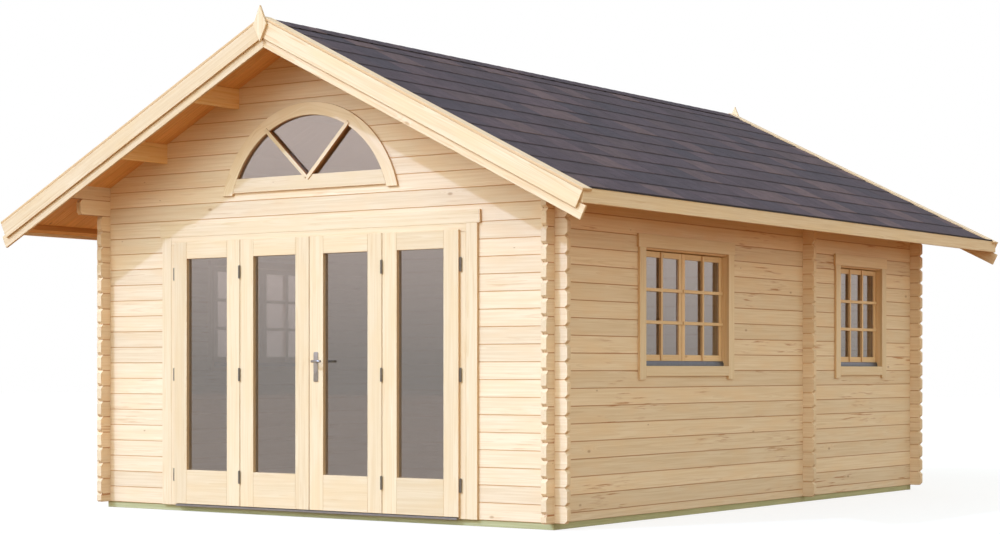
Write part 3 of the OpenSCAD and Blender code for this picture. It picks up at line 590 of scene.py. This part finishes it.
# Threshold and drip bars
# Extruded aluminium: a low sill under the door leaves and a bar that throws rain off below each window sash.
# Both are drawn through a die, so fine lines run along them; the sill is mill bright and the bars anodised blue-grey.
def metal_finish(name, colour, dull, rough, line):
    """Metal with drawn or brushed lines, of this size on each axis and coarser than real ones so that they show, and
    a duller film in patches of 33 mm."""
    made, tree, shader = new_finish(name)
    place = add(tree, "TexCoord", {})["Object"]
    drawn = add(tree, "VectorMath", {0: place, 1: line}, operation="DIVIDE")[0]
    brush = add(tree, "TexNoise", {"Vector": drawn, "Scale": 1.0, "Detail": 2.0})["Fac"]
    film = add(tree, "TexNoise", {"Vector": place, "Scale": 1 / 0.033, "Detail": 3.0})["Fac"]
    tint = add(tree, "Mix", {0: film, 6: linear(colour), 7: linear(dull)}, data_type="RGBA")[2]
    sheen = add(tree, "MapRange", {0: brush, 3: rough - 0.1, 4: rough + 0.12})[0]
    normal = add(tree, "Bump", {"Strength": 0.15, "Distance": 0.0004, "Height": brush})[0]
    wire(tree, shader, {"Base Color": tint, "Roughness": sheen, "Normal": normal, "Metallic": 1.0})
    return made


sill_aluminium = metal_finish("mill_aluminium_sill", "#a9a8a6", "#8b8a88", 0.42, (0.33, 0.0014, 0.0014))
bar_aluminium = metal_finish("anodised_aluminium_bar", "#7d8894", "#68727d", 0.4, (0.0014, 0.33, 0.0014))
for bar, finish, slot in (("door_threshold", sill_aluminium, "threshold_aluminium"),
                          ("window_drip_bars", bar_aluminium, "drip_bar_aluminium")):
    extrusion = welded(bar)
    ease_edges(extrusion, 0.001)
    make_piece("drawn_" + bar, extrusion, finish, slot, bar)


# Door hinges
# Turned steel knuckles with a pin through them, three to each hung edge, on flaps let into the wood.
# Plated with nickel and brushed to a satin, so a soft highlight runs down each knuckle.
hinge_steel = metal_finish("satin_nickel_steel", "#8f8d88", "#75736e", 0.36, (0.0011, 0.0011, 0.017))
knuckles = 3
groove = 0.0006


def circle(centre, radius, first, second, steps):
    """Points round a centre, from the first direction towards the second."""
    turns = [2 * math.pi * k / steps for k in range(steps)]
    return [centre + radius * (math.cos(turn) * first + math.sin(turn) * second) for turn in turns]


def smooth_round(solids, angle=40):
    """Shades round faces smooth and keeps real edges crisp."""
    for face in solids.faces:
        face.smooth = True
    for edge in solids.edges:
        edge.smooth = not edge.is_manifold or edge.calc_face_angle() < math.radians(angle)


hinges = bmesh.new()
for low, high in solid_boxes("door_hinges"):
    r = (high.x - low.x) / 2
    length = high.z - low.z
    pin_end = [(0.30 * r, 0.003), (0.62 * r, 0.002), (0.72 * r, 0.001), (0.72 * r, 0.0)]
    profile = [(radius, -out) for radius, out in pin_end] + [(0.86 * r, 0.0)]
    for k in range(knuckles):
        foot, top = k * length / knuckles, (k + 1) * length / knuckles
        profile += [(r, foot + groove), (r, top - groove), (0.86 * r, top)]
    profile += [(radius, length + out) for radius, out in reversed(pin_end)]
    middle = (low + high) / 2
    add_loft(hinges, [circle(Vector((middle.x, middle.y, low.z + height)), radius, Vector((1, 0, 0)),
                             Vector((0, 1, 0)), 20) for radius, height in profile])
smooth_round(hinges)
make_piece("turned_door_hinges", hinges, hinge_steel, "door_hardware", "door_hinges")


# Door handle
# A bent lever of stainless steel on a long plate, with a raised keyhole cover below it, screwed to the middle stile.
# The steel is brushed along the lever, so its highlights are drawn out.
handle_low, handle_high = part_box("door_handle")
plate_w = 0.040
plate_t = 0.006
plate_corner = 0.008
key_up, key_t, key_in = 0.062, 0.004, 0.001
key_half_w, key_half_h, key_corner = 0.0085, 0.0165, 0.0084
lever_r = 0.009
lever_up = 0.147
lever_end = 0.004
bend_r = 0.018
bend_steps = 6
brushed_steel = metal_finish("brushed_stainless_steel", "#b3b1ac", "#9b9994", 0.3, (0.017, 0.0011, 0.0011))


def rounded(x0, x1, z0, z1, radius, y, steps=6):
    """Corners of an upright rectangle with round corners, at the depth y."""
    points = []
    for cx, cz, start in ((x1 - radius, z0 + radius, -90), (x1 - radius, z1 - radius, 0),
                          (x0 + radius, z1 - radius, 90), (x0 + radius, z0 + radius, 180)):
        for k in range(steps + 1):
            turn = math.radians(start + 90 * k / steps)
            points.append(Vector((cx + radius * math.cos(turn), y, cz + radius * math.sin(turn))))
    return points


handle = bmesh.new()
plate_x = handle_low.x + plate_w / 2
plate_y = handle_high.y
key_z = handle_low.z + key_up
add_prism(handle, rounded(handle_low.x, handle_low.x + plate_w, handle_low.z, handle_high.z, plate_corner, plate_y),
          (0, -plate_t, 0))
add_prism(handle, rounded(plate_x - key_half_w, plate_x + key_half_w, key_z - key_half_h, key_z + key_half_h,
                          key_corner, plate_y - plate_t + key_in), (0, -key_t, 0))
ease_edges(handle, 0.0012, 60)
lever_z = handle_low.z + lever_up
front = handle_low.y + lever_r
path = [Vector((plate_x, plate_y - 0.001, lever_z)), Vector((plate_x, front + bend_r, lever_z))]
for k in range(1, bend_steps + 1):
    turn = math.radians(90 * k / bend_steps)
    path.append(Vector((plate_x + bend_r * (1 - math.cos(turn)), front + bend_r * (1 - math.sin(turn)), lever_z)))
path += [Vector((handle_high.x - lever_end, front, lever_z)), Vector((handle_high.x, front, lever_z))]
rings = []
for k, point in enumerate(path):
    ahead = (path[min(k + 1, len(path) - 1)] - path[max(k - 1, 0)]).normalized()
    radius = lever_r * (0.72 if k == len(path) - 1 else 1.0)
    rings.append(circle(point, radius, ahead.cross(Vector((0, 0, 1))), Vector((0, 0, 1)), 18))
add_loft(handle, rings)
smooth_round(handle)
make_piece("lever_handle", handle, brushed_steel, "door_hardware", "door_handle")


# Arched window
# A bent spruce frame in the gable with an arched casing board, a bottom board and two sloping bars.
# The pane is bedded near the outer face; the bars stand on it, and their face strips lap over the casing.
# Little light falls into the reveal, so the frame and the bars' cores take a deep orange spruce that is painted shade.
arch_low, arch_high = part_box("arch_window_casing")
arch_r = 0.850
arch_centre = Vector(((arch_low.x + arch_high.x) / 2, arch_low.y, arch_high.z - arch_r))
painted_shade_spruce = timber_finish("painted_shade_spruce", board_grain, "#dda368", "#c07c40", "#cf9052", "#a8642c", "#7d4f25",
                              rough=0.55, stain=0.3, knotty=0.02)
for board, finish in (("arch_window_casing", planed_spruce), ("arch_window_frame", painted_shade_spruce)):
    timber("planed_" + board, welded(board), 0.0025, finish, "planed_spruce", board, bend=arch_centre, sawn=0.5)

arch_glass_low, arch_glass_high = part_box("arch_window_glass")
pane_out = 0.015
arch_pane = welded("arch_window_glass")
for corner in arch_pane.verts:
    corner.co.y -= pane_out
make_piece("arch_pane", arch_pane, glazing, "glazing", "arch_window_glass")


def add_lapped_bar(core, strip, foot, head, widths, out, seat, face, laps):
    """Adds a glazing bar between two points of the glass: a core up to the frame's face, and on it a strip that laps
    over the frame at each end. seat and face are the distances of the core's and the strip's face from the glass."""
    ahead = (head - foot).normalized()
    across = ahead.cross(out)
    for solids, wide, low, high, lap in ((core, widths[0], 0.0, seat - joint_gap, (0, 0)),
                                         (strip, widths[1], seat, face, laps)):
        start, stop = foot - ahead * lap[0], head + ahead * lap[1]
        outline = [end + out * depth - across * wide / 2
                   for end, depth in ((start, high), (stop, high), (stop, low), (start, low))]
        add_prism(solids, outline, across * wide)


# Each bar's side, its foot's distance from the middle, its lean in degrees and its strip's lap over the bottom board
arch_bars = ((1, 0.029, 45.0, 0.041), (-1, 0.025, 46.8, 0.0235))
bar_w = (0.020, 0.029)
bar_face = 0.008
head_lap = 0.028
pane_y = arch_glass_low.y - pane_out
arch_seat = pane_y - arch_low.y + bed_gap
inner_r = arch_glass_high.z - arch_centre.z
arch_cores, arch_strips = bmesh.new(), bmesh.new()
for side, spread, lean, foot_lap in arch_bars:
    ahead = Vector((side * math.sin(math.radians(lean)), 0, math.cos(math.radians(lean))))
    foot = Vector((arch_centre.x + side * spread, pane_y, arch_glass_low.z))
    arm = foot - Vector((arch_centre.x, foot.y, arch_centre.z))
    reach = -arm.dot(ahead) + math.sqrt(arm.dot(ahead) ** 2 - arm.length_squared + inner_r ** 2)
    add_lapped_bar(arch_cores, arch_strips, foot, foot + ahead * reach, bar_w, Vector((0, -1, 0)), arch_seat,
                   arch_seat + bar_face, (foot_lap, head_lap))
# The cores take the painted shade spruce, the face strips the pale spruce
timber("arch_window_bars", arch_cores, 0.0015, painted_shade_spruce, "planed_spruce")
timber("arch_bar_strips", arch_strips, 0.0015, planed_spruce, "planed_spruce", sawn=0.5)


# Side windows
# Spruce frames with side-hung sashes, glazed behind stuck-on bars, and casing boards over the joint to the logs.
# Each sash is planed back by a seam and dropped a little at its head, and its bars lap over its stiles and rails.
# Frames and sashes are yellower and darker than the casings round them, partly their own colour and partly painted
# shade of the recess.
sash_spruce = timber_finish("sash_spruce", board_grain, "#efcea1", "#deb480", "#e8c08f", "#c08548", "#9c642c",
                            rough=0.5, stain=0.3, knotty=0.02)
for board, finish in (("window_frames", sash_spruce), ("window_casings", planed_spruce)):
    timber("planed_" + board, welded(board), 0.002, finish, "planed_spruce", board, sawn=0.5)
sash_low, sash_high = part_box("window_sashes")
glass_low, glass_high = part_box("window_glass")
sash_w = glass_low.z - sash_low.z
sash_drop = 0.003
window_panes = solid_boxes("window_glass")
sashes = welded("window_sashes")
for low, high in window_panes:
    for corner in sashes.verts:
        if abs(corner.co.y - (low.y - sash_w)) < seam / 2:
            corner.co.y += seam
        elif abs(corner.co.y - (high.y + sash_w)) < seam / 2:
            corner.co.y -= seam
for corner in sashes.verts:
    corner.co.z = min(corner.co.z, sash_high.z - sash_drop)
timber("planed_window_sashes", sashes, 0.002, sash_spruce, "planed_spruce", "window_sashes", sawn=0.5)

rows = 3
wide_pane = 0.6
sash_bar_w = (0.024, 0.024)
sash_seat = 0.0113
upright_face = sash_seat + 0.010
level_face = sash_seat + 0.011
sash_lap = sash_w - 0.006
sash_bars = bmesh.new()
for low, high in window_panes:
    columns = 3 if high.y - low.y > wide_pane else 2
    uprights = [low.y + (high.y - low.y) * k / columns for k in range(1, columns)]
    levels = [low.z + (high.z - low.z) * k / rows for k in range(1, rows)]
    outer_first = (1, -1) if low.x > 0 else (-1, 1)
    for way in outer_first:
        x = high.x if way > 0 else low.x
        runs = [(Vector((x, y, low.z)), Vector((x, y, high.z)), upright_face) for y in uprights]
        runs += [(Vector((x, low.y, z)), Vector((x, high.y, z)), level_face) for z in levels]
        for foot, head, face in runs:
            add_lapped_bar(sash_bars, sash_bars, foot, head, sash_bar_w, Vector((way, 0, 0)), sash_seat, face,
                           (sash_lap, sash_lap))
timber("window_bars", sash_bars, 0.0015, sash_spruce, "planed_spruce", sawn=0.4)


# Studio
# A matt floor that keeps the cabin's shadow, a cool sun-like key light from the front left, and a soft sky all round
# that is brightest behind the key. The camera sees plain white, and glass and metal mirror a plain warm haze.
scene = bpy.context.scene
scene.view_settings.view_transform = "Standard"


def floor_finish():
    """White card to the camera, with part of its shade kept; to everything else a matt floor that sends warm light
    up under the eaves."""
    made, tree, shader = new_finish("studio_floor")
    rays = add(tree, "LightPath", {})
    place = add(tree, "TexCoord", {})["Object"]
    mottle = add(tree, "TexNoise", {"Vector": place, "Scale": 1 / 1.25, "Detail": 2.0})["Fac"]
    bounce = add(tree, "Mix", {0: mottle, 6: linear("#a06e32"), 7: linear("#99692f")}, data_type="RGBA")[2]
    tint = add(tree, "Mix", {0: rays["Is Camera Ray"], 6: bounce, 7: linear("#c8c6c2")}, data_type="RGBA")[2]
    wire(tree, shader, {"Base Color": tint, "Roughness": 0.9})
    white = add(tree, "Emission", {"Color": (1, 1, 1, 1), "Strength": 1.32})[0]
    mirrored = add(tree, "Math", {0: rays["Is Glossy Ray"], 1: rays["Is Transmission Ray"]}, operation="MAXIMUM")[0]
    mirrored = add(tree, "Math", {0: mirrored, 1: 0.32}, operation="MULTIPLY")[0]
    share = add(tree, "Math", {0: rays["Is Camera Ray"], 1: 0.6, 2: mirrored}, operation="MULTIPLY_ADD")[0]
    mixed = add(tree, "MixShader", {0: share, 1: shader.outputs[0], 2: white})[0]
    wire(tree, tree.nodes["Material Output"], {"Surface": mixed})
    return made


floor_half = 60.0
ground = bmesh.new()
bmesh.ops.create_grid(ground, x_segments=1, y_segments=1, size=floor_half)
floor_mesh = bpy.data.meshes.new("studio_floor")
ground.to_mesh(floor_mesh)
ground.free()
floor_mesh.materials.append(floor_finish())
studio_floor = bpy.data.objects.new("studio_floor", floor_mesh)
scene.collection.objects.link(studio_floor)

world = bpy.data.worlds.new("studio_world")
scene.world = world
world.use_nodes = True
sky = world.node_tree
fill = sky.nodes["Background"]
to_key = Vector((-0.320, -0.7145, 0.622))
to_soft = Vector((-0.28, -0.84, 0.46))
way = add(sky, "TexCoord", {})["Generated"]
height = add(sky, "SeparateXYZ", {0: way})[2]
all_round = add(sky, "ValToRGB", {0: height}, stops=((0.0, "#fcffea"), (1.0, "#82909f")))[0]
wire(sky, fill, {"Color": all_round, "Strength": 1.5})
facing = add(sky, "VectorMath", {0: way, 1: to_soft}, operation="DOT_PRODUCT")["Value"]
towards = add(sky, "MapRange", {0: facing, 1: 0.7, 2: 1.0, 3: 0.0, 4: 2.45}, interpolation_type="SMOOTHSTEP")[0]
soft = add(sky, "Background", {"Color": linear("#dbf3ff"), "Strength": towards})[0]
lit = add(sky, "AddShader", {0: fill.outputs[0], 1: soft})[0]
haze = add(sky, "ValToRGB", {0: height}, stops=((0.0, "#bdb6b0"), (0.11, "#ffece2"), (0.6, "#b9b5ba")))[0]
mirror = add(sky, "Background", {"Color": haze, "Strength": 1.3})[0]
white = add(sky, "Background", {"Color": (1, 1, 1, 1), "Strength": 1.0})[0]
rays = add(sky, "LightPath", {})
through = add(sky, "Math", {0: rays["Is Glossy Ray"], 1: rays["Is Transmission Ray"]}, operation="MAXIMUM")[0]
mixed = add(sky, "MixShader", {0: through, 1: lit, 2: mirror})[0]
mixed = add(sky, "MixShader", {0: rays["Is Camera Ray"], 1: mixed, 2: white})[0]
wire(sky, sky.nodes["World Output"], {"Surface": mixed})

key = bpy.data.lights.new("key_light", "SUN")
key.energy = 1.8
key.angle = math.radians(1.5)
key.color = linear("#b0c9ff")[:3]
key_lamp = bpy.data.objects.new("key_light", key)
key_lamp.rotation_euler = to_key.to_track_quat("Z", "Y").to_euler()
scene.collection.objects.link(key_lamp)

camera = bpy.data.cameras.new("camera")
camera.lens = 75.137
camera.sensor_width = 36.0
camera.shift_y = 0.10247
camera.clip_end = 200.0
viewer = bpy.data.objects.new("camera", camera)
viewer.location = (9.77598, -14.51781, 1.07354)
viewer.rotation_euler = (math.pi / 2, 0.0, 0.610)
scene.collection.objects.link(viewer)
scene.camera = viewer
